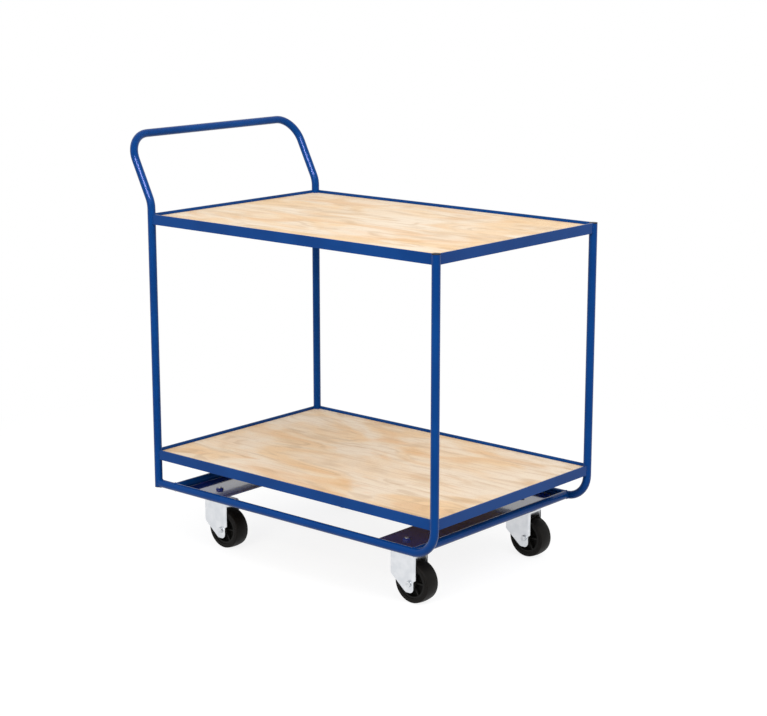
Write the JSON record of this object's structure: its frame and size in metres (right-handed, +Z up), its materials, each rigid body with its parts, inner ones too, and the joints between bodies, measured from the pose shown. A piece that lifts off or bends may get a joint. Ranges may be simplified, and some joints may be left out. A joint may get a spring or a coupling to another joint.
{
  "type": "table trolley",
  "caption": "Table trolley: wooden shelves one above the other in a blue welded tube frame, with a leaning push handle at one end and swivel casters, for moving goods by hand.",
  "frame": {"origin": "on the floor, under the middle of the overall length and width", "axes": "+Z up, +X forwards with the push handle at -X, +Y to the left across the trolley"},
  "size_m": [1.001, 0.61, 1.032],
  "materials": {
    "frame_blue": "semi-gloss powder coat",
    "sheet_blue": "smooth, glossy powder coat on flat sheet",
    "board_wood": "pale beech-look board, satin",
    "zinc_sheet": "bright zinc-plated pressed steel",
    "zinc_fastener": "zinc-plated fastener",
    "bearing_steel": "bare steel",
    "core_black": "moulded plastic",
    "tyre_rubber": "solid rubber",
    "plug_black": "moulded plastic plug"
  },
  "bodies": {
    "frame": {"handle_tube": "frame_blue", "right_side_tube": "frame_blue", "left_side_tube": "frame_blue", "front_cross_tube": "frame_blue", "rear_cross_tube": "frame_blue", "front_caster_sheet": "sheet_blue", "rear_caster_sheet": "sheet_blue", "top_right_rail": "frame_blue", "top_left_rail": "frame_blue", "top_front_rail": "frame_blue", "top_rear_rail": "frame_blue", "lower_right_rail": "frame_blue", "lower_left_rail": "frame_blue", "lower_front_rail": "frame_blue", "lower_rear_rail": "frame_blue", "top_board": "board_wood", "lower_board": "board_wood", "tube_plugs": "plug_black", "kingpin_nuts": "sheet_blue", "front_right_caster_plate": "zinc_sheet", "front_right_kingpin": "zinc_fastener", "front_left_caster_plate": "zinc_sheet", "front_left_kingpin": "zinc_fastener", "rear_right_caster_plate": "zinc_sheet", "rear_right_kingpin": "zinc_fastener", "rear_left_caster_plate": "zinc_sheet", "rear_left_kingpin": "zinc_fastener"},
    "front_right_caster": {"front_right_swivel_bearing": "bearing_steel", "front_right_fork": "zinc_sheet", "front_right_axle_bolt": "zinc_fastener", "front_right_axle_nut": "zinc_fastener", "front_right_axle_sleeve": "bearing_steel"},
    "front_right_wheel": {"front_right_wheel_core": "core_black", "front_right_tyre": "tyre_rubber"},
    "front_left_caster": {"front_left_swivel_bearing": "bearing_steel", "front_left_fork": "zinc_sheet", "front_left_axle_bolt": "zinc_fastener", "front_left_axle_nut": "zinc_fastener", "front_left_axle_sleeve": "bearing_steel"},
    "front_left_wheel": {"front_left_wheel_core": "core_black", "front_left_tyre": "tyre_rubber"},
    "rear_right_caster": {"rear_right_swivel_bearing": "bearing_steel", "rear_right_fork": "zinc_sheet", "rear_right_axle_bolt": "zinc_fastener", "rear_right_axle_nut": "zinc_fastener", "rear_right_axle_sleeve": "bearing_steel"},
    "rear_right_wheel": {"rear_right_wheel_core": "core_black", "rear_right_tyre": "tyre_rubber"},
    "rear_left_caster": {"rear_left_swivel_bearing": "bearing_steel", "rear_left_fork": "zinc_sheet", "rear_left_axle_bolt": "zinc_fastener", "rear_left_axle_nut": "zinc_fastener", "rear_left_axle_sleeve": "bearing_steel"},
    "rear_left_wheel": {"rear_left_wheel_core": "core_black", "rear_left_tyre": "tyre_rubber"}
  },
  "joints": [
    {"name": "front_right_swivel", "type": "hinge", "parent": "frame", "child": "front_right_caster", "pos_m": [0.3475, -0.22, 0.123], "axis": [0, 0, 1], "continuous": true},
    {"name": "front_right_roll", "type": "hinge", "parent": "front_right_caster", "child": "front_right_wheel", "pos_m": [0.3775, -0.22, 0.05], "axis": [0, 1, 0], "continuous": true},
    {"name": "front_left_swivel", "type": "hinge", "parent": "frame", "child": "front_left_caster", "pos_m": [0.3475, 0.22, 0.123], "axis": [0, 0, 1], "continuous": true},
    {"name": "front_left_roll", "type": "hinge", "parent": "front_left_caster", "child": "front_left_wheel", "pos_m": [0.3775, 0.22, 0.05], "axis": [0, 1, 0], "continuous": true},
    {"name": "rear_right_swivel", "type": "hinge", "parent": "frame", "child": "rear_right_caster", "pos_m": [-0.2665, -0.22, 0.123], "axis": [0, 0, 1], "continuous": true},
    {"name": "rear_right_roll", "type": "hinge", "parent": "rear_right_caster", "child": "rear_right_wheel", "pos_m": [-0.2365, -0.22, 0.05], "axis": [0, 1, 0], "continuous": true},
    {"name": "rear_left_swivel", "type": "hinge", "parent": "frame", "child": "rear_left_caster", "pos_m": [-0.2665, 0.22, 0.123], "axis": [0, 0, 1], "continuous": true},
    {"name": "rear_left_roll", "type": "hinge", "parent": "rear_left_caster", "child": "rear_left_wheel", "pos_m": [-0.2365, 0.22, 0.05], "axis": [0, 1, 0], "continuous": true}
  ]
}
